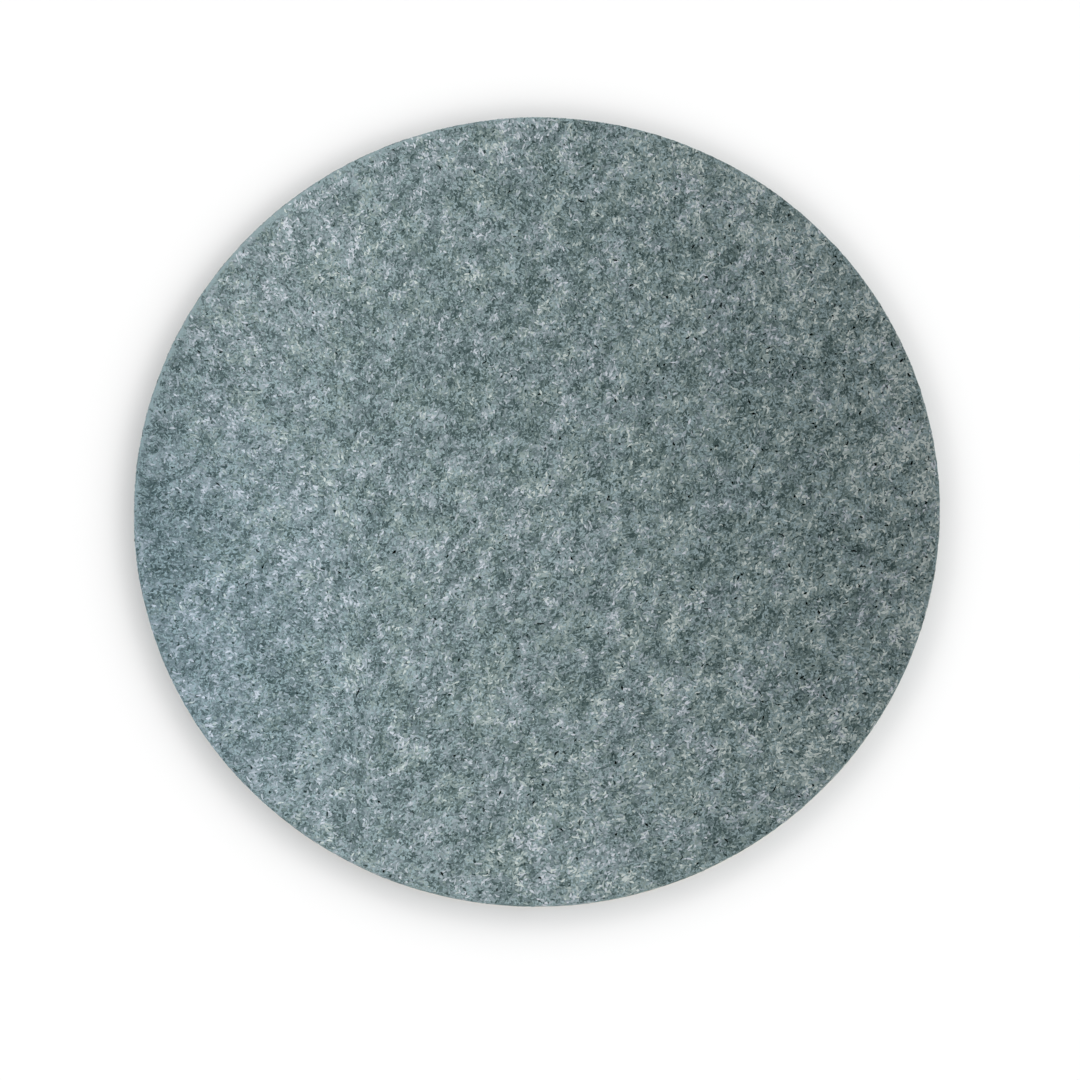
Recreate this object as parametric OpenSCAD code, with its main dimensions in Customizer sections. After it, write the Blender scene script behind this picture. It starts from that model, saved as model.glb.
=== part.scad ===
// Felt polishing disc, 6 inch, with a self-adhesive back, lying on its release liner.
// Millimetres. The axis of the disc is Z, and the liner's underside is at Z = 0.
// From the bench up: release liner, lap adhesive, carrier film, felt adhesive, felt pad.

/* [Disc] */
// Diameter of the disc, the same as the flat lap's
disc_d = 152.4; // [100:0.1:204]

/* [Felt] */
// Thickness of the pressed felt
felt_t = 3.2; // [2:0.1:6]
// Radius that the cutting die leaves on the felt's upper edge
felt_edge_r = 0.5; // [0.2:0.1:1]

/* [Adhesive sheet] */
// Thickness of the adhesive layer that holds the felt to the carrier film
felt_adhesive_t = 0.1; // [0.05:0.01:0.2]
// Thickness of the polyester carrier film in the middle of the sheet
carrier_t = 0.05; // [0.02:0.01:0.1]
// Thickness of the adhesive layer that sticks to the flat lap
lap_adhesive_t = 0.1; // [0.05:0.01:0.2]

/* [Release liner] */
// Thickness of the silicone-coated paper liner
liner_t = 0.15; // [0.08:0.01:0.3]

/* [Hidden] */
$fn = 180;

disc_r = disc_d / 2;
lap_adhesive_z = liner_t;
carrier_z = lap_adhesive_z + lap_adhesive_t;
felt_adhesive_z = carrier_z + carrier_t;
felt_z = felt_adhesive_z + felt_adhesive_t;

// One flat layer of the disc, from height z up.
module layer(z, thickness) {
    translate([0, 0, z])
        cylinder(r = disc_r, h = thickness);
}

// Half section of the felt: square at the bottom, with a quarter round at the upper edge.
module felt_section() {
    square([disc_r, felt_t - felt_edge_r]);
    square([disc_r - felt_edge_r, felt_t]);
    intersection() {
        translate([disc_r - felt_edge_r, felt_t - felt_edge_r])
            circle(r = felt_edge_r, $fn = 48);
        translate([disc_r - felt_edge_r, felt_t - felt_edge_r])
            square(felt_edge_r);
    }
}

// Silicone-coated paper that keeps the adhesive clean until the disc is fitted.
module release_liner() {
    color([0.80, 0.72, 0.58])
        layer(0, liner_t);
}

// Adhesive that grips the flat lap once the liner is off.
module lap_adhesive() {
    color([0.86, 0.84, 0.74])
        layer(lap_adhesive_z, lap_adhesive_t);
}

// Thin film that keeps the adhesive sheet flat and in one piece.
module carrier_film() {
    color([0.90, 0.92, 0.93])
        layer(carrier_z, carrier_t);
}

// Adhesive that is bonded into the underside of the felt.
module felt_adhesive() {
    color([0.86, 0.84, 0.74])
        layer(felt_adhesive_z, felt_adhesive_t);
}

// The working part: a plain disc of pressed grey felt with a die-cut edge.
module felt_pad() {
    color([0.46, 0.52, 0.53])
        translate([0, 0, felt_z])
            rotate_extrude()
                felt_section();
}

release_liner();
lap_adhesive();
carrier_film();
felt_adhesive();
felt_pad();
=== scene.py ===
"""Looks of the self-adhesive felt polishing disc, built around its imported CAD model.

The felt is a closed mesh with real relief, and its nap is thousands of short curled tufts laid on
the face and round the wall. The liner, adhesive and film keep their CAD shapes.
"""
from math import cos, pi, radians, sin

import bpy
import numpy as np
from mathutils import Matrix, Vector


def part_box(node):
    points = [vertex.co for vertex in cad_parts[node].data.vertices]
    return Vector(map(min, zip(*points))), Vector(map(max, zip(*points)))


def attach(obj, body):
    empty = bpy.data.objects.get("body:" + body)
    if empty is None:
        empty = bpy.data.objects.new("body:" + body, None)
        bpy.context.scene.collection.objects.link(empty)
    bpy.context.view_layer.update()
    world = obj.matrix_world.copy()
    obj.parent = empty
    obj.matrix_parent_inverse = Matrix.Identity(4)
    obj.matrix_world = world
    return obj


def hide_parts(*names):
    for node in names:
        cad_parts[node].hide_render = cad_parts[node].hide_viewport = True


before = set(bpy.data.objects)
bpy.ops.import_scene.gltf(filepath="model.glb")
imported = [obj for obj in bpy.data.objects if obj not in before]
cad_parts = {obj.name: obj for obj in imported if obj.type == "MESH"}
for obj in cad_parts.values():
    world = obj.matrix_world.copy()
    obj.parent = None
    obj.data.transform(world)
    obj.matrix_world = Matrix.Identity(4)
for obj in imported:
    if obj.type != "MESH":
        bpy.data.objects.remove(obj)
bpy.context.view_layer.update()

MM = 0.001

# ---------------------------------------------------------------- sizes, from the frame

PAD_LOW, PAD_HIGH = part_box("felt_pad")
FLOOR_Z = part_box("release_liner")[0].z
RIM_R = PAD_HIGH.x                # radius of the disc
PAD_BOTTOM = PAD_LOW.z            # underside of the felt
PAD_TOP = PAD_HIGH.z              # polishing face
EDGE_R = 0.5 * MM                 # round that the die leaves on the upper edge
FLAT_R = RIM_R - EDGE_R           # radius of the flat part of the face
PRESSED_BAND = 1.4 * MM           # width of the band that the die pressed smooth
PRESSED_SIDE = radians(135)       # side of the rim that has this band
RIM_GAP = 0.08 * MM               # how near to the rim the tufts on the face come
TRIM_BAND = 0.5 * MM              # band at an edge within which fibres bend to stay on the felt
WALL_MARGIN = 0.1 * MM            # height of the wall's foot that fibres leave bare
WALL_TOP = 0.15                   # share of the rounded edge that fibres on the wall stay clear of
FACE_DROP = 0.12                  # how far the face lies under the flat top, in millimetres
PIT_DEPTH = 0.16                  # depth of the pits in the face, in millimetres
WALL_DROP = 0.06                  # how far the wall lies inside the nominal radius, in millimetres
PRESSED_CALM = 0.8                # share of the relief that the die takes out of the pressed band
PRESSED_TUFTS = 0.8               # share of the tufts that the pressed band goes without
PRESSED_LIFT = 0.4                # share of the tufts' height that it loses there

# ---------------------------------------------------------------- relief of the felt


def soft_step(t):
    """Smooth change from 0 to 1 as t goes from 0 to 1."""
    t = np.clip(t, 0.0, 1.0)
    return t * t * (3.0 - 2.0 * t)


def lattice_noise(u, v, cell, seed):
    """Smooth noise from -1 to 1, with lumps about as wide as cell."""
    side = 256
    values = np.random.default_rng(seed).uniform(-1.0, 1.0, (side, side))
    u, v = u / cell, v / cell
    i, j = np.floor(u).astype(int), np.floor(v).astype(int)
    across, up = soft_step(u - i), soft_step(v - j)
    i0, i1, j0, j1 = i % side, (i + 1) % side, j % side, (j + 1) % side
    low = values[i0, j0] * (1.0 - across) + values[i1, j0] * across
    high = values[i0, j1] * (1.0 - across) + values[i1, j1] * across
    return low * (1.0 - up) + high * up


def face_relief(x, y):
    """How far the felt's face lies under the flat top, as a negative height."""
    lumps = 0.035 * lattice_noise(x, y, 5.0 * MM, 11) + 0.04 * lattice_noise(x, y, 2.1 * MM, 12)
    tangle = 0.05 * lattice_noise(x, y, 1.1 * MM, 13)
    pits = -PIT_DEPTH * soft_step((lattice_noise(x, y, 1.7 * MM, 14) - 0.62) / 0.3)
    calm = 1.0 - PRESSED_CALM * pressed(x, y)
    return ((lumps + tangle + pits) * calm - FACE_DROP) * MM


def wall_relief(angle, z):
    """How far flattened layers of fibre in the cut wall stand out from the nominal radius."""
    along = angle * RIM_R
    layers = 0.03 * lattice_noise(along, z * 6.0, 2.4 * MM, 21)
    pulls = 0.025 * lattice_noise(along, z * 3.0, 0.9 * MM, 22)
    wander = 0.05 * lattice_noise(along, z * 0.2, 13.0 * MM, 23)
    return (layers + pulls + wander - WALL_DROP) * MM


def held_under(value, limit, band):
    """value kept below limit, squeezed into the last band before it."""
    over = np.maximum(value - limit + band, 0.0)
    return np.minimum(value, limit - band) + band * np.tanh(over / band)


def pressed(x, y):
    """1 on the band that the die pressed flat along one side of the rim, 0 elsewhere."""
    towards = (x * cos(PRESSED_SIDE) + y * sin(PRESSED_SIDE)) / RIM_R
    band = soft_step((np.hypot(x, y) - FLAT_R + PRESSED_BAND) / PRESSED_BAND)
    return band * soft_step((towards - 0.55) / 0.35)


def face_point(x, y, lift):
    """Points on the face and its rounded edge, a height lift above the relief there."""
    far = np.hypot(x, y)
    r = held_under(far, RIM_R - RIM_GAP, TRIM_BAND)
    turn = np.arcsin(np.clip((r - FLAT_R) / EDGE_R, 0.0, 1.0))
    share = turn / (pi / 2)
    z = PAD_TOP - EDGE_R * (1.0 - np.cos(turn))
    r_rough = r + share * wall_relief(np.arctan2(y, x), z)
    x, y = x * r_rough / np.maximum(far, MM), y * r_rough / np.maximum(far, MM)
    rise = (1.0 - share) * face_relief(x, y) + lift * (1.0 - PRESSED_LIFT * pressed(x, y))
    return np.stack([x, y, z + rise], axis=-1)


def wall_point(along, z, lift):
    """Points a height lift above the cut wall and its rounded edge.

    along is the distance round the rim. z is held between the wall's two edges.
    """
    z = held_under(z, PAD_TOP - WALL_TOP * EDGE_R, TRIM_BAND)
    z = -held_under(-z, -PAD_BOTTOM - WALL_MARGIN, TRIM_BAND)
    angle = along / RIM_R
    over = np.clip(z - PAD_TOP + EDGE_R, 0.0, EDGE_R)
    rounding = EDGE_R - np.sqrt(EDGE_R**2 - over**2)
    r = RIM_R + wall_relief(angle, z) + lift - rounding
    return np.stack([r * np.cos(angle), r * np.sin(angle), z], axis=-1)


# ---------------------------------------------------------------- meshes


def mesh_object(name, points, faces, materials, slots=None):
    """A smooth-shaded mesh object of these points and quads, with a material slot per face."""
    mesh = bpy.data.meshes.new(name)
    mesh.from_pydata(points.tolist(), [], faces)
    for material in materials:
        mesh.materials.append(material)
    mesh.polygons.foreach_set("use_smooth", [True] * len(mesh.polygons))
    if slots is not None:
        mesh.polygons.foreach_set("material_index", slots)
    mesh.update()
    piece = bpy.data.objects.new(name, mesh)
    bpy.context.scene.collection.objects.link(piece)
    return piece


FACE_CELLS = 256                  # cells across the face's grid
EDGE_ROWS = 4                     # rows of quads down the rounded edge
WALL_ROWS = 9                     # rows of quads down the cut wall
DYES = 8                          # tones of fibre in the heather mix, from dark to pale
TONE_SPREAD = 1.8                 # how many tones fibres stray from the middle one
FIBRE_SCATTER = 0.8               # how far a fibre strays from the blotch that it lies in
HUE_SCATTER = 0.4                 # how far a fibre strays from green or blue ones round it
LEFT_PAINTED_BLUE_LIGHT = 0.8                   # how strongly blue fibres gather at the left, as painted blue light
PALE_RIM = 0.4                    # how much paler fibres are at the rim
RIGHT_RIM_PAINTED_LIGHT = 0.3               # how much more of that the right rim has, as painted light
LEFT_RIM_PAINTED_SHADE = 0.6                   # how much darker fibres are close to the left rim, as painted shade
PAINTED_GLARE_TILT = 0.2                 # how much further tones stray at the right rim, and less far at the left, as painted glare
NAP_LIE = 1.0                     # direction of the nap at the middle of the disc, in radians
NAP_SWING = 0.84                  # how far that direction turns from the middle to the upper rim
LEFT_LIE = 2.7                    # direction of the nap near the left rim
NAP_SCATTER = 0.8                 # how far a tuft strays from the common direction
PIT_SHADE_RATE = 0.004                # share of nearly black fibres, painted shade of pits, at the middle of the disc
PIT_SHADE_DRIFT = 1.8                 # how steeply that share grows towards the right rim
NAP_MARGIN = 0.3 * MM             # ring at the rim where no tuft on the face starts
CROWN = 0.4                       # height of a tuft's middle line, as a share of half its width
SINK = 0.02 * MM                  # how deep a tuft's sides lie in the felt
TIP_SINK = 0.04 * MM              # how deep a tuft's tips lie in the felt


def square_on_disc(cells):
    """A square grid drawn out into a round one: x and y of each corner, on a unit disc."""
    side = np.linspace(-1.0, 1.0, cells + 1)
    a, b = np.meshgrid(side, side, indexing="ij")
    wide = np.abs(a) > np.abs(b)
    r = np.where(wide, a, b)
    ratio = np.where(wide, b, a) / np.where(r == 0.0, 1.0, r)
    angle = np.where(wide, ratio * pi / 4, pi / 2 - ratio * pi / 4)
    return r * np.cos(angle), r * np.sin(angle)


def outer_ring(cells):
    """Indices of the grid's outer corners, in order round it."""
    grid = np.arange((cells + 1) ** 2).reshape(cells + 1, cells + 1)
    sides = [grid[:-1, 0], grid[-1, :-1], grid[:0:-1, -1], grid[0, :0:-1]]
    return np.concatenate(sides)


def felt_mesh(material):
    """The felt: the face with its relief, the rounded edge, the cut wall and a flat underside."""
    unit_x, unit_y = square_on_disc(FACE_CELLS)
    x, y = unit_x.ravel() * FLAT_R, unit_y.ravel() * FLAT_R
    points = [np.stack([x, y, PAD_TOP + face_relief(x, y)], axis=1)]
    grid = np.arange(len(x)).reshape(FACE_CELLS + 1, FACE_CELLS + 1)
    corners = [grid[:-1, :-1], grid[1:, :-1], grid[1:, 1:], grid[:-1, 1:]]
    faces = [np.stack([c.ravel() for c in corners], axis=1)]

    ring = outer_ring(FACE_CELLS)
    angle = np.arctan2(y[ring], x[ring])
    out = np.stack([np.cos(angle), np.sin(angle)], axis=1)
    rows = []
    for turn in np.linspace(0.0, pi / 2, EDGE_ROWS + 1)[1:]:
        share = turn / (pi / 2)
        z = PAD_TOP - EDGE_R * (1.0 - cos(turn))
        r = FLAT_R + EDGE_R * sin(turn) + share * wall_relief(angle, z)
        relief = (1.0 - share) * face_relief(x[ring], y[ring])
        rows.append(np.column_stack([out * np.reshape(r, (-1, 1)), z + relief]))
    for z in np.linspace(PAD_TOP - EDGE_R, PAD_BOTTOM, WALL_ROWS + 1)[1:]:
        r = RIM_R + wall_relief(angle, z)
        rows.append(np.column_stack([out * r.reshape(-1, 1), np.full(len(ring), z)]))

    upper, used = ring, len(x)
    for row in rows:
        points.append(row)
        lower = np.arange(used, used + len(row))
        used += len(row)
        faces.append(np.stack([upper, lower, np.roll(lower, -1), np.roll(upper, -1)], axis=1))
        upper = lower
    underside = [int(i) for i in upper[::-1]]
    quads = np.concatenate(faces).tolist() + [underside]
    return mesh_object("felt_pad_mesh", np.concatenate(points), quads, [material])


def pick_dyes(x, y, painted_light_and_shade_bias, rng):
    """The material slot of each fibre: random, but in blotches drawn out along the nap.

    Fibres are paler near the rim, and more so at the right rim, as painted light. Close to the
    left rim they are darker, as painted shade, and more are blue, as painted blue light. Their
    tones stray less at the left, as painted glare, and nearly black flecks, painted shade of pits,
    gather at the right.
    """
    # these two seeds put the broad clouds about where the photograph has them
    clouds = 0.3 * lattice_noise(x, y, 24.0 * MM, 1109) + 0.25 * lattice_noise(x, y, 18.0 * MM, 994)
    along = x * cos(NAP_LIE) + y * sin(NAP_LIE)
    across = y * cos(NAP_LIE) - x * sin(NAP_LIE)
    blotches = (0.2 * lattice_noise(x, y, 7.0 * MM, 81)
                + 0.36 * lattice_noise(0.8 * along, across, 3.2 * MM, 82)
                + 1.4 * lattice_noise(0.7 * along, across, 1.4 * MM, 84))
    # paler towards the rim; the extra paleness at the right rim is painted light
    paler = PALE_RIM + RIGHT_RIM_PAINTED_LIGHT * x / RIM_R
    paler = paler * soft_step((np.hypot(x, y) / RIM_R - 0.7) / 0.3)
    # darker close to the left rim: painted shade
    darker = LEFT_RIM_PAINTED_SHADE * soft_step((-x / RIM_R - 0.75) / 0.2)
    tone = painted_light_and_shade_bias + paler - darker + rng.normal(0.0, FIBRE_SCATTER, len(x)) + clouds + blotches
    # tones stray less at the left than at the right: painted glare
    level = (DYES - 1) / 2 + TONE_SPREAD * (1.0 + PAINTED_GLARE_TILT * x / RIM_R) * tone
    level = np.clip(np.round(level), 0, DYES - 1).astype(int)
    hue = lattice_noise(x, y, 4.0 * MM, 83) + rng.normal(0.0, HUE_SCATTER, len(x))
    # more blue fibres at the left: painted blue light over the heather's own mix of hues
    blue = hue > LEFT_PAINTED_BLUE_LIGHT * x / RIM_R
    # nearly black fibres here are painted shade of pits
    black = rng.random(len(x)) < PIT_SHADE_RATE * np.exp(PIT_SHADE_DRIFT * x / RIM_R)
    return np.where(black, 2 * DYES, level + DYES * blue)


def tufts(name, place, starts, headings, lengths, widths, lifts, painted_light_and_shade_bias, steps, seed):
    """Short curled tufts of fibre with a raised middle line, two quads wide and steps quads long.

    place turns flat points into points on the felt. Each tuft is dyed by where its middle lies.
    """
    rng = np.random.default_rng(seed)
    count = len(lengths)
    t = np.linspace(0.0, 1.0, steps + 1)
    curl = rng.normal(0.0, 1.0, (count, 1))
    wave = rng.normal(0.0, 0.6, (count, 1))
    heading = headings[:, None] + curl * (t - 0.5) + wave * np.sin(2.0 * pi * t)
    step = (lengths / steps)[:, None]
    run = np.stack([np.cos(heading), np.sin(heading)], axis=-1) * step[..., None]
    line = starts[:, None, :] + np.cumsum(run, axis=1) - run[:, :1]
    side = np.stack([-np.sin(heading), np.cos(heading)], axis=-1)
    half = (widths[:, None] / 2) * (0.3 + 0.7 * np.sin(pi * (0.06 + 0.88 * t)))
    roll = rng.normal(0.0, 0.25, (count, 1))
    lift = lifts[:, None] * np.sin(pi * t) - TIP_SINK * np.abs(2.0 * t - 1.0)
    edges = []
    for way in (-1.0, 0.0, 1.0):
        flat = line + way * half[..., None] * side
        crown = CROWN * half * (1.0 - abs(way)) - SINK
        edges.append(place(flat[..., 0], flat[..., 1], lift + crown + way * half * roll))
    points = np.stack(edges, axis=2).reshape(-1, 3)
    first = np.arange(count)[:, None, None] * 3 * (steps + 1)
    first = first + np.arange(steps)[None, :, None] * 3 + np.arange(2)[None, None, :]
    quads = np.stack([first, first + 3, first + 4, first + 1], axis=-1).reshape(-1, 4)
    middle = edges[1][:, steps // 2]
    dyes = pick_dyes(middle[:, 0], middle[:, 1], painted_light_and_shade_bias, rng)
    return mesh_object(name, points, quads.tolist(), FIBRES, np.repeat(dyes, 2 * steps))


def lie(x, y):
    """The common direction of the nap. It swings over the face, and turns near the left rim."""
    swing = NAP_SWING * y / RIM_R
    left = soft_step((-x / RIM_R - 0.35) / 0.25)
    return (NAP_LIE + swing) * (1.0 - left) + (LEFT_LIE - swing) * left


def face_nap(name, count, length, width, lift, painted_light_and_shade_bias, steps, seed):
    """Tufts over the felt's face, with a loose common direction. Few grow on the pressed band.

    length, width and lift are the least and the most of each, in millimetres.
    """
    rng = np.random.default_rng(seed)
    r = (RIM_R - NAP_MARGIN) * np.sqrt(rng.random(count))
    angle = rng.uniform(0.0, 2.0 * pi, count)
    x, y = r * np.cos(angle), r * np.sin(angle)
    kept = rng.random(count) > PRESSED_TUFTS * pressed(x, y)
    x, y = x[kept], y[kept]
    count = len(x)
    headings = lie(x, y) + rng.normal(0.0, NAP_SCATTER, count) + pi * rng.integers(0, 2, count)
    spans = (length, width, lift)
    lengths, widths, lifts = (rng.uniform(low * MM, high * MM, count) for low, high in spans)
    return tufts(name, face_point, np.stack([x, y], axis=1), headings,
                 lengths, widths, lifts, painted_light_and_shade_bias, steps, seed + 1)


def wall_nap(name, count, length, width, lift, painted_light_and_shade_bias, steps, seed):
    """Tufts over the cut wall, most of them lying along it. The spans are in millimetres."""
    rng = np.random.default_rng(seed)
    along = rng.uniform(0.0, 2.0 * pi * RIM_R, count)
    z = rng.uniform(PAD_BOTTOM + WALL_MARGIN, PAD_TOP - 0.3 * EDGE_R, count)
    headings = rng.normal(0.0, 0.35, count) + pi * rng.integers(0, 2, count)
    spans = (length, width, lift)
    lengths, widths, lifts = (rng.uniform(low * MM, high * MM, count) for low, high in spans)
    return tufts(name, wall_point, np.stack([along, z], axis=1), headings,
                 lengths, widths, lifts, painted_light_and_shade_bias, steps, seed + 1)


# ---------------------------------------------------------------- materials


def feed(tree, socket, value):
    """Joins an output to a socket, or sets the socket to a plain value."""
    if isinstance(value, bpy.types.NodeSocket):
        tree.links.new(value, socket)
    else:
        socket.default_value = value


def add(tree, kind, settings=None, inputs=None):
    """A new shader node with these settings and inputs."""
    node = tree.nodes.new("ShaderNode" + kind)
    for key, value in (settings or {}).items():
        setattr(node, key, value)
    for key, value in (inputs or {}).items():
        feed(tree, node.inputs[key], value)
    return node


def maths(tree, operation, a, b=0.0, c=0.0):
    """The output of a Math node."""
    return add(tree, "Math", {"operation": operation}, {0: a, 1: b, 2: c}).outputs[0]


def between(tree, value, low, high, to_low=0.0, to_high=1.0):
    """value moved from the range low..high to the range to_low..to_high, and held there."""
    inputs = {"Value": value, "From Min": low, "From Max": high, "To Min": to_low, "To Max": to_high}
    return add(tree, "MapRange", {"interpolation_type": "SMOOTHSTEP"}, inputs).outputs["Result"]


def noise(tree, where, per_mm, detail=2.0, roughness=0.5, distortion=0.0):
    """Noise from 0 to 1 with about per_mm lumps in each millimetre."""
    inputs = {"Vector": where, "Scale": per_mm, "Detail": detail, "Roughness": roughness,
              "Distortion": distortion}
    return add(tree, "TexNoise", None, inputs).outputs["Fac"]


def ridge(tree, value):
    """Bright curled lines where value crosses its middle."""
    folded = maths(tree, "ABSOLUTE", maths(tree, "MULTIPLY_ADD", value, 2.0, -1.0))
    return maths(tree, "SUBTRACT", 1.0, folded)


def ramp(tree, value, stops):
    """A colour that changes with value through these (place, colour) stops."""
    node = add(tree, "ValToRGB", None, {"Fac": value})
    elements = node.color_ramp.elements
    for place, colour in stops[1:-1]:
        elements.new(place).color = (*colour, 1.0)
    for element, (place, colour) in ((elements[0], stops[0]), (elements[-1], stops[-1])):
        element.position, element.color = place, (*colour, 1.0)
    return node.outputs["Color"]


def new_material(name, **plain):
    """A material, its node tree and its Principled node, with plain values on the node's sockets."""
    material = bpy.data.materials.new(name)
    material.use_nodes = True
    tree = material.node_tree
    shader = tree.nodes["Principled BSDF"]
    for key, value in plain.items():
        shader.inputs[key.replace("_", " ")].default_value = value
    return material, tree, shader


def millimetres(tree):
    """The piece's own coordinates, in millimetres."""
    own = add(tree, "TexCoord").outputs["Object"]
    return add(tree, "VectorMath", {"operation": "SCALE"}, {0: own, "Scale": 1.0 / MM}).outputs[0]


def bump(tree, shader, height, depth, strength=1.0):
    """Small relief on a shader: height from 0 to 1 stands for depth metres."""
    inputs = {"Height": height, "Distance": depth, "Strength": strength}
    feed(tree, shader.inputs["Normal"], add(tree, "Bump", None, inputs).outputs["Normal"])


FELT_DARK = (0.002, 0.004, 0.004)  # the felt under the nap, from its pits to its palest fibres; the dark end is painted shade in the gaps and pits
FELT_DEEP = (0.012, 0.020, 0.020)
FELT_MID = (0.044, 0.063, 0.064)
FELT_PALE = (0.140, 0.180, 0.190)
# nearly black wool that paints the shade of pits
PIT_SHADE_BLACK = (0.003, 0.004, 0.004)
DARKEST_DYE = 0.006               # green value of the darkest and the palest tone of the nap
PALEST_DYE = 0.275
DYE_CURVE = 1.7                   # how much closer together the dark tones lie than the pale ones
COOL_TINT = (0.6, 1.0, 1.0, 1.0)  # the dyed wool tints even the light that it scatters at once


def dye(level, hue):
    """The colour of a dye. Pale dyes are nearer to white. Hue is 0 for green-grey, 1 for blue-grey."""
    share = (level + 0.5) / DYES
    depth = DARKEST_DYE + (PALEST_DYE - DARKEST_DYE) * share**DYE_CURVE
    red = (0.74 + 0.03 * level) * (0.98 + 0.04 * hue)
    return (depth * red, depth, depth * (0.963 + 0.13 * hue))


def felt_material():
    """Heathered wool felt: tangled pale fibres over darker ones, and pits. The dark base and the dark
    pits are partly painted shade.

    The pressed side of the rim is smooth, its paler tone partly a painted highlight; the cut wall
    shows fibres in layers, paler in part as painted light.
    """
    material, tree, shader = new_material("felt_wool", Sheen_Weight=0.2, Sheen_Roughness=0.6,
                                          Sheen_Tint=COOL_TINT, Specular_IOR_Level=0.15)
    where = millimetres(tree)
    curls = ridge(tree, noise(tree, where, 0.75, detail=3.0, roughness=0.65, distortion=1.6))
    strands = ridge(tree, noise(tree, where, 1.5, detail=3.0, roughness=0.6, distortion=0.8))
    grain = noise(tree, where, 2.6, detail=2.0, roughness=0.6, distortion=0.3)
    blotches = noise(tree, where, 0.22, detail=3.0, roughness=0.6)
    tone = maths(tree, "MULTIPLY_ADD", curls, 0.30, maths(tree, "MULTIPLY", strands, 0.22))
    tone = maths(tree, "MULTIPLY_ADD", grain, 0.75, tone)
    tone = maths(tree, "MULTIPLY_ADD", blotches, 0.35, tone)
    tone = between(tree, tone, 0.62, 1.18)
    # dark spots where this noise is low: painted shade of pits
    pits = between(tree, noise(tree, where, 0.9, detail=2.0, roughness=0.7), 0.30, 0.40)
    tone = maths(tree, "MULTIPLY", tone, pits)
    flat = add(tree, "VectorMath", {"operation": "MULTIPLY"}, {0: where, 1: (1.0, 1.0, 0.0)})
    radius = add(tree, "VectorMath", {"operation": "LENGTH"}, {0: flat.outputs[0]}).outputs["Value"]
    rim = between(tree, radius, (FLAT_R - PRESSED_BAND) / MM, FLAT_R / MM)
    side = (cos(PRESSED_SIDE) * MM / RIM_R, sin(PRESSED_SIDE) * MM / RIM_R, 0.0)
    towards = add(tree, "VectorMath", {"operation": "DOT_PRODUCT"}, {0: where, 1: side})
    rim = maths(tree, "MULTIPLY", rim, between(tree, towards.outputs["Value"], 0.55, 0.9))
    height = add(tree, "SeparateXYZ", None, {0: where}).outputs["Z"]
    wall = between(tree, height, (PAD_TOP - EDGE_R) / MM, (PAD_TOP - 0.5 * EDGE_R) / MM, 1.0, 0.0)
    squat = add(tree, "VectorMath", {"operation": "MULTIPLY"}, {0: where, 1: (1.0, 1.0, 3.5)})
    layers = noise(tree, squat.outputs[0], 0.9, detail=3.0, roughness=0.65, distortion=0.8)
    layers = ridge(tree, layers)
    layers = maths(tree, "MULTIPLY_ADD", grain, 0.7, maths(tree, "MULTIPLY", layers, 0.6))
    # the wall's tones start paler than the face's: partly its cut fibres, partly painted light on the
    # wall
    layers = between(tree, layers, 0.5, 1.05, 0.35, 1.0)
    # paler tone of the pressed band, on the side toward the light: partly the pressed felt, partly a
    # painted highlight
    smooth = maths(tree, "MULTIPLY_ADD", grain, 0.25, 0.72)
    tone = add(tree, "Mix", {"data_type": "FLOAT"}, {0: rim, 2: tone, 3: smooth}).outputs[0]
    tone = add(tree, "Mix", {"data_type": "FLOAT"}, {0: wall, 2: tone, 3: layers}).outputs[0]
    stops = [(0.0, FELT_DARK), (0.3, FELT_DEEP), (0.6, FELT_MID), (1.0, FELT_PALE)]
    feed(tree, shader.inputs["Base Color"], ramp(tree, tone, stops))
    feed(tree, shader.inputs["Roughness"], between(tree, tone, 0.0, 1.0, 1.0, 0.82))
    bump(tree, shader, tone, 0.22 * MM, 0.8)
    return material


def fibre_material(level, hue):
    """Wool fibre dyed in one tone of the heather mix."""
    name = ("green_wool_%d", "blue_wool_%d")[hue] % level
    return new_material(name, Base_Color=(*dye(level, hue), 1.0), Roughness=0.65,
                        Sheen_Weight=0.15, Sheen_Roughness=0.5, Sheen_Tint=COOL_TINT,
                        Specular_IOR_Level=0.45, Specular_Tint=COOL_TINT)[0]


def adhesive_material():
    """Tacky, cloudy adhesive with faint swirls and an orange-peel surface."""
    material, tree, shader = new_material("tacky_adhesive", Coat_Weight=0.4, Coat_Roughness=0.12)
    where = millimetres(tree)
    clouds = noise(tree, where, 0.12, detail=4.0, roughness=0.6, distortion=1.2)
    specks = noise(tree, where, 1.4, detail=2.0, roughness=0.5)
    stops = [(0.25, (0.17, 0.13, 0.08)), (0.55, (0.22, 0.17, 0.11)), (0.8, (0.27, 0.22, 0.15))]
    feed(tree, shader.inputs["Base Color"], ramp(tree, clouds, stops))
    feed(tree, shader.inputs["Roughness"], between(tree, specks, 0.3, 0.7, 0.22, 0.42))
    bump(tree, shader, specks, 0.03 * MM, 0.6)
    return material


def film_material():
    """Clear polyester film, seen only at its edge."""
    material, tree, shader = new_material("polyester_film", Coat_Weight=0.5)
    haze = noise(tree, millimetres(tree), 0.3, detail=3.0, roughness=0.5)
    stops = [(0.3, (0.30, 0.31, 0.31)), (0.7, (0.38, 0.39, 0.39))]
    feed(tree, shader.inputs["Base Color"], ramp(tree, haze, stops))
    feed(tree, shader.inputs["Roughness"], between(tree, haze, 0.3, 0.7, 0.08, 0.2))
    return material


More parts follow.
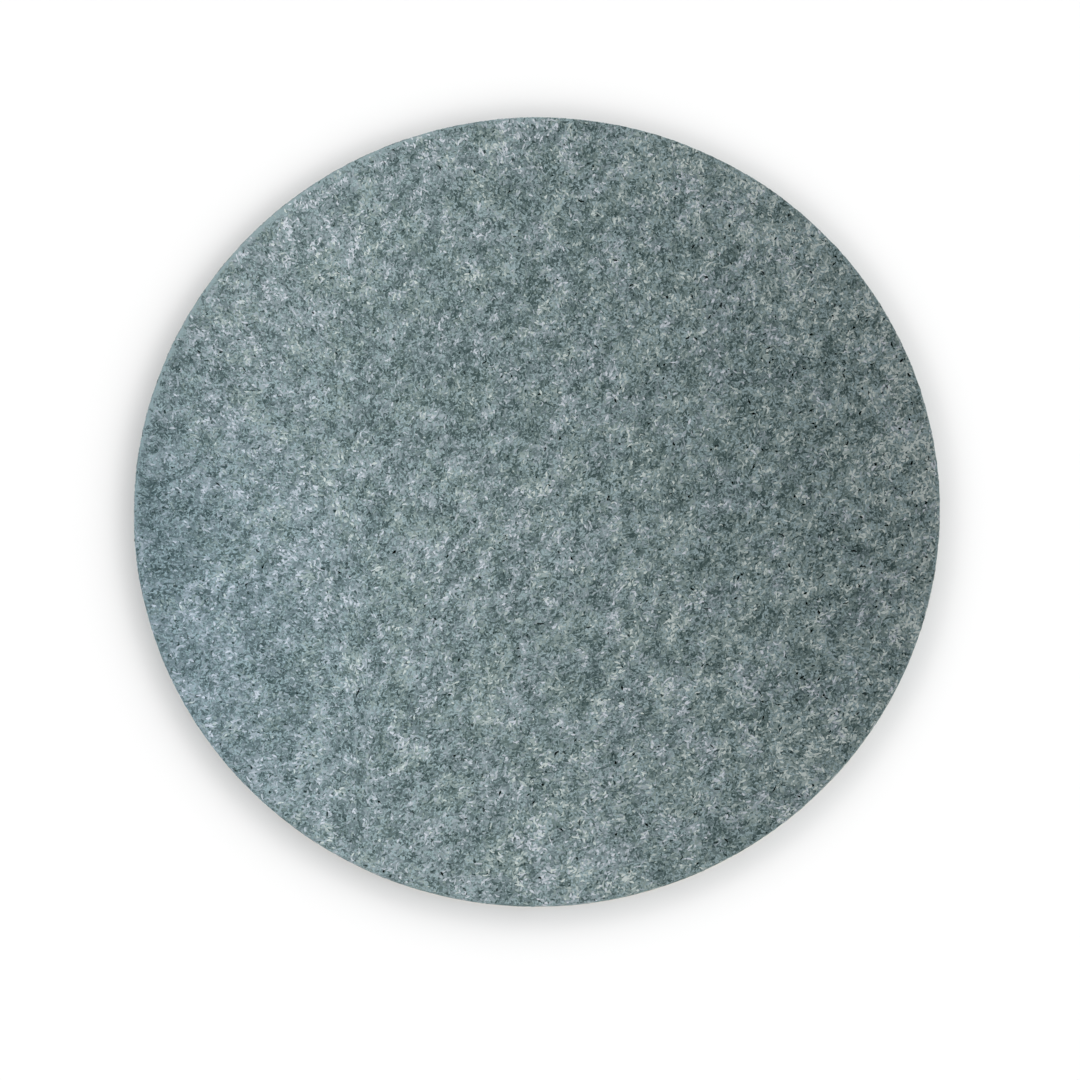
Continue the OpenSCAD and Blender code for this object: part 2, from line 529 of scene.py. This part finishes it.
def liner_material():
    """Brown release paper: short fibres and flecks of bark under a thin silicone gloss."""
    material, tree, shader = new_material("release_paper", Coat_Weight=0.25, Coat_Roughness=0.3)
    where = millimetres(tree)
    fibres = ridge(tree, noise(tree, where, 0.9, detail=4.0, roughness=0.65, distortion=1.5))
    fine = noise(tree, where, 2.2, detail=3.0, roughness=0.7, distortion=0.8)
    clouds = noise(tree, where, 0.1, detail=3.0, roughness=0.6)
    tone = maths(tree, "MULTIPLY_ADD", clouds, 0.4, maths(tree, "MULTIPLY", fibres, 0.45))
    tone = between(tree, maths(tree, "MULTIPLY_ADD", fine, 0.6, tone), 0.62, 1.15)
    flecks = noise(tree, where, 0.55, detail=2.0, roughness=0.7, distortion=0.5)
    flecks = between(tree, flecks, 0.68, 0.74, to_low=1.0, to_high=0.25)
    tone = maths(tree, "MULTIPLY", tone, flecks)
    stops = [(0.0, (0.15, 0.10, 0.055)), (0.5, (0.31, 0.22, 0.135)), (1.0, (0.43, 0.33, 0.22))]
    feed(tree, shader.inputs["Base Color"], ramp(tree, tone, stops))
    feed(tree, shader.inputs["Roughness"], between(tree, fibres, 0.2, 0.9, 0.55, 0.4))
    bump(tree, shader, fibres, 0.02 * MM, 0.5)
    return material


def floor_material():
    """Plain matt white table top."""
    material, tree, shader = new_material("white_table", Specular_IOR_Level=0.0, Roughness=1.0)
    shader.inputs["Base Color"].default_value = (FLOOR_WHITE, FLOOR_WHITE, FLOOR_WHITE, 1.0)
    return material


# ---------------------------------------------------------------- the felt and its nap

felt = felt_mesh(felt_material())
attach(felt, "disc")
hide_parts("felt_pad")

FIBRES = [fibre_material(level, hue) for hue in range(2) for level in range(DYES)]
# nearly black wool for the painted shade of pits
FIBRES.append(new_material("pit_shade_wool", Base_Color=(*PIT_SHADE_BLACK, 1.0), Roughness=1.0,
                           Specular_IOR_Level=0.0)[0])

# the low layer's tones are shifted darker as painted shade under the others, the top's slightly paler
# and the wall's paler as painted light
nap = [
    face_nap("nap_low", 16000, length=(0.7, 1.5), width=(0.40, 0.62), lift=(0.01, 0.04),
             painted_light_and_shade_bias=-0.4, steps=2, seed=31),
    face_nap("nap_middle", 24000, length=(0.7, 1.5), width=(0.32, 0.54), lift=(0.02, 0.08),
             painted_light_and_shade_bias=0.0, steps=2, seed=41),
    face_nap("nap_top", 22000, length=(0.7, 1.5), width=(0.30, 0.50), lift=(0.04, 0.10),
             painted_light_and_shade_bias=0.05, steps=2, seed=51),
    face_nap("nap_long", 5000, length=(1.4, 2.6), width=(0.20, 0.34), lift=(0.04, 0.12),
             painted_light_and_shade_bias=0.0, steps=4, seed=71),
    wall_nap("nap_wall", 12000, length=(0.6, 1.8), width=(0.15, 0.34), lift=(0.01, 0.06),
             painted_light_and_shade_bias=0.5, steps=3, seed=61),
]
for piece in nap:
    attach(piece, "disc")

# ---------------------------------------------------------------- materials of the CAD layers

ADHESIVE = adhesive_material()
for node, material in (("release_liner", liner_material()), ("lap_adhesive", ADHESIVE),
                       ("carrier_film", film_material()), ("felt_adhesive", ADHESIVE)):
    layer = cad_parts[node]
    layer.data.materials.clear()
    layer.data.materials.append(material)

# ---------------------------------------------------------------- floor, light and camera


FLOOR_HALF = 25.0                 # so wide that its edge can't be told from the horizon
FLOOR_WHITE = 0.8
STUDIO_LIGHT = 0.23               # strength of the light that comes from all round
RING_GLOW = 10.0                  # how many times as much more comes from the ring of light
SIDE_GLOW = 5.0                   # the same for the bright side of the studio
HORIZON_GLOW = 3.4                # the same for the band behind the floor's far edge
BRIGHT_SIDE = Vector((0.98, -0.2, 0.0))
STRIP_PLACE = (-0.038, -0.001, 0.50)
STRIP_TARGET = (-0.038, 0.0, 0.0)
SKY_PLACE = (-0.13, -0.022, 0.36)
SKY_TARGET = (-0.09, -0.022, 0.0)
WHITE = (1.0, 1.0, 1.0)
SKY_BLUE = (0.05, 0.5, 1.0)


def make_floor():
    """A wide plain sheet that the disc lies on."""
    corners = np.array([(-FLOOR_HALF, -FLOOR_HALF, FLOOR_Z), (FLOOR_HALF, -FLOOR_HALF, FLOOR_Z),
                        (FLOOR_HALF, FLOOR_HALF, FLOOR_Z), (-FLOOR_HALF, FLOOR_HALF, FLOOR_Z)])
    floor = mesh_object("table_top", corners, [(0, 1, 2, 3)], [floor_material()])


def make_world():
    """A white studio with a ring of light part way up, a bright side and a pale horizon."""
    world = bpy.data.worlds.new("studio")
    world.use_nodes = True
    tree = world.node_tree
    direction = add(tree, "TexCoord").outputs["Generated"]
    height = add(tree, "SeparateXYZ", None, {0: direction}).outputs["Z"]
    lower = between(tree, height, 0.05, 0.4)
    upper = between(tree, height, 0.5, 0.8, to_low=1.0, to_high=0.0)
    ring = maths(tree, "MULTIPLY", lower, upper)
    facing = add(tree, "VectorMath", {"operation": "DOT_PRODUCT"}, {0: direction, 1: BRIGHT_SIDE})
    aside = maths(tree, "POWER", maths(tree, "MAXIMUM", facing.outputs["Value"], 0.0), 1.5)
    horizon = between(tree, height, 0.08, 0.2, to_low=HORIZON_GLOW, to_high=0.0)
    glow = maths(tree, "MULTIPLY_ADD", ring, RING_GLOW, 1.0)
    glow = maths(tree, "MULTIPLY_ADD", aside, SIDE_GLOW, glow)
    glow = maths(tree, "ADD", glow, horizon)
    background = tree.nodes["Background"]
    background.inputs["Color"].default_value = (*WHITE, 1.0)
    feed(tree, background.inputs["Strength"], maths(tree, "MULTIPLY", glow, STUDIO_LIGHT))
    bpy.context.scene.world = world


def aim(thing, eye, target, roll=0.0):
    """Puts a lamp or camera at eye, looking at target, with its right side level or rolled."""
    ahead = (target - eye).normalized()
    right = ahead.cross(Vector((0.0, 0.0, 1.0))).normalized()
    up = right.cross(ahead)
    right, up = cos(roll) * right + sin(roll) * up, cos(roll) * up - sin(roll) * right
    thing.matrix_world = Matrix.Translation(eye) @ Matrix((right, up, -ahead)).transposed().to_4x4()


def make_lamp(name, kind, eye, target, energy, colour, only, **settings):
    """A lamp at eye, aimed at target, that lights nothing but the pieces in only."""
    data = bpy.data.lights.new(name, kind)
    data.energy, data.color = energy, colour
    for key, value in settings.items():
        setattr(data, key, value)
    lamp = bpy.data.objects.new(name, data)
    bpy.context.scene.collection.objects.link(lamp)
    aim(lamp, Vector(eye), Vector(target))
    lamp.visible_camera = False
    lit = bpy.data.collections.new(name + "_lights")
    for piece in only:
        lit.objects.link(piece)
    lamp.light_linking.receiver_collection = lit


CAMERA_DISTANCE = 0.42
CAMERA_ELEVATION = radians(78.86)
CAMERA_ROLL = radians(-4.39)
CAMERA_SENSOR = 36.0
CAMERA_LENS = 74.4
CAMERA_NEAR = 0.01
CAMERA_FAR = 60.0
CAMERA_TARGET = Vector((0.2 * MM, -8.2 * MM, PAD_TOP))


def make_camera():
    """A camera above the near edge, looking down on the face."""
    data = bpy.data.cameras.new("camera")
    data.sensor_width, data.lens = CAMERA_SENSOR, CAMERA_LENS
    data.clip_start, data.clip_end = CAMERA_NEAR, CAMERA_FAR
    camera = bpy.data.objects.new("camera", data)
    bpy.context.scene.collection.objects.link(camera)
    back = Vector((0.0, -cos(CAMERA_ELEVATION), sin(CAMERA_ELEVATION)))
    aim(camera, CAMERA_TARGET + CAMERA_DISTANCE * back, CAMERA_TARGET, CAMERA_ROLL)
    bpy.context.scene.camera = camera


make_floor()
make_world()
make_lamp("strip", "AREA", STRIP_PLACE, STRIP_TARGET, energy=0.28, colour=WHITE,
          only=[felt, *nap], shape="RECTANGLE", size=0.02, size_y=0.5, spread=radians(30))
make_lamp("sky", "SPOT", SKY_PLACE, SKY_TARGET, energy=4.6, colour=SKY_BLUE,
          only=[felt, *nap], shadow_soft_size=0.05, spot_size=radians(13), spot_blend=1.0)
make_camera()
bpy.context.scene.view_settings.view_transform = "Standard"
